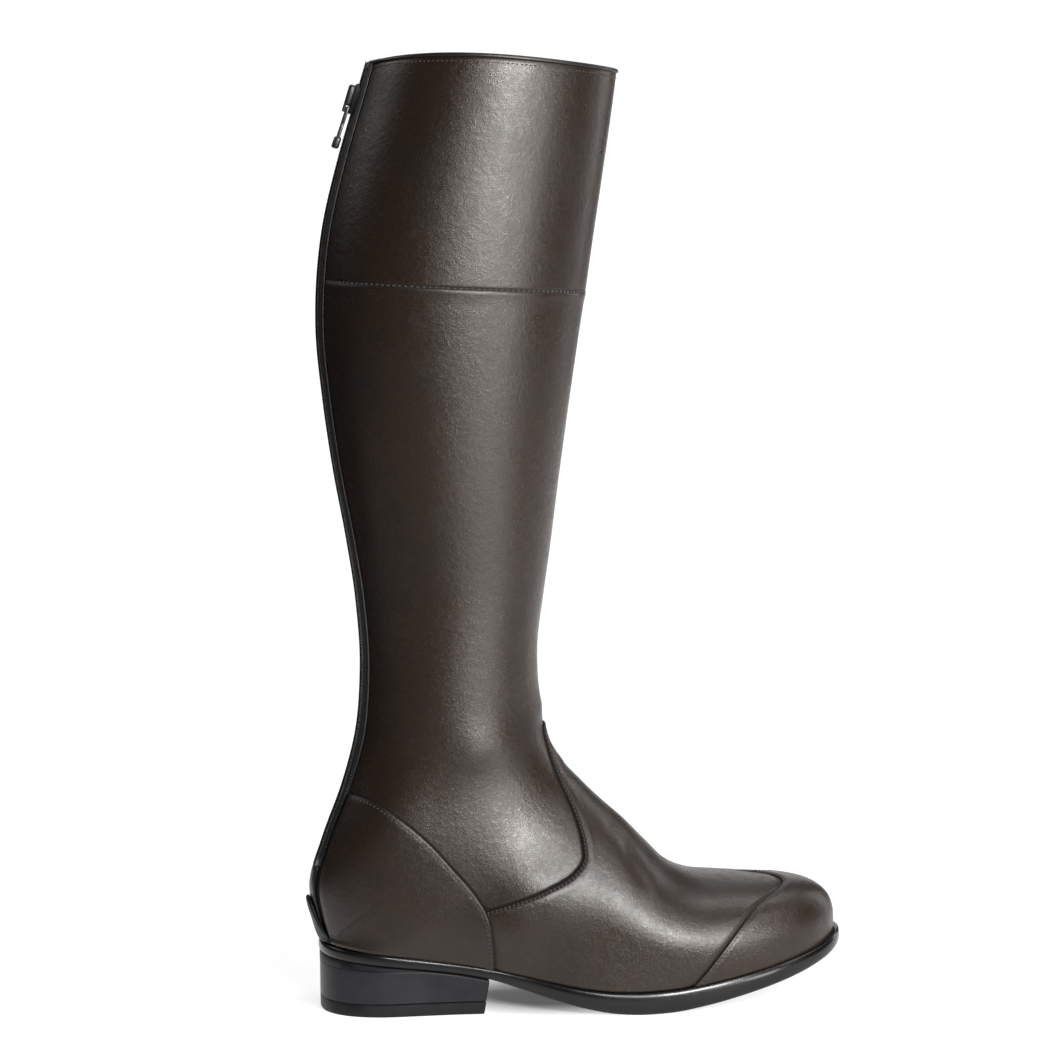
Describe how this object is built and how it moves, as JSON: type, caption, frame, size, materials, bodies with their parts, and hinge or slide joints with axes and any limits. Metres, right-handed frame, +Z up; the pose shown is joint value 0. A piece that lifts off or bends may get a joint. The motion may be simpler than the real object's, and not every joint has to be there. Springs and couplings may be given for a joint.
{
  "type": "riding boot",
  "caption": "Tall dark brown leather riding boot for the right foot, with a zip up the back, toe cap, heel counter, spur rest and low stacked heel; worn on the foot and lower leg",
  "frame": {"origin": "on the floor under the middle of the boot's box", "axes": "+X to the toe, +Y to the inner side of the right foot, +Z up the shaft"},
  "size_m": [0.2745, 0.106, 0.4744],
  "materials": {
    "leather": "dark grey-brown, fine grain, satin",
    "trim": "black, thin and smooth, satin",
    "sole_edge": "black, polished edge",
    "rubber": "black, matt moulded",
    "zip_cloth": "black woven tape",
    "zip_metal": "dark nickel",
    "insole_board": "plain tan leather board, matt"
  },
  "bodies": {
    "boot": {"collar_binding": "trim", "counter_lateral": "leather", "counter_medial": "leather", "heel_block": "sole_edge", "heel_top_piece": "rubber", "insole": "insole_board", "outsole": "rubber", "spur_rest": "rubber", "toe_cap": "leather", "upper": "leather", "vamp": "leather", "welt": "sole_edge", "zip_chain": "zip_metal", "zip_facing": "trim", "zip_slider": "zip_metal", "zip_tape": "zip_cloth"},
    "zip_pull": {"zip_pull": "zip_metal"}
  },
  "joints": [
    {"name": "zip_pull_swing", "type": "hinge", "parent": "boot", "child": "zip_pull", "pos_m": [-0.11461, 0, 0.44806], "axis": [0, 1, 0], "range_deg": [0, 150]}
  ]
}
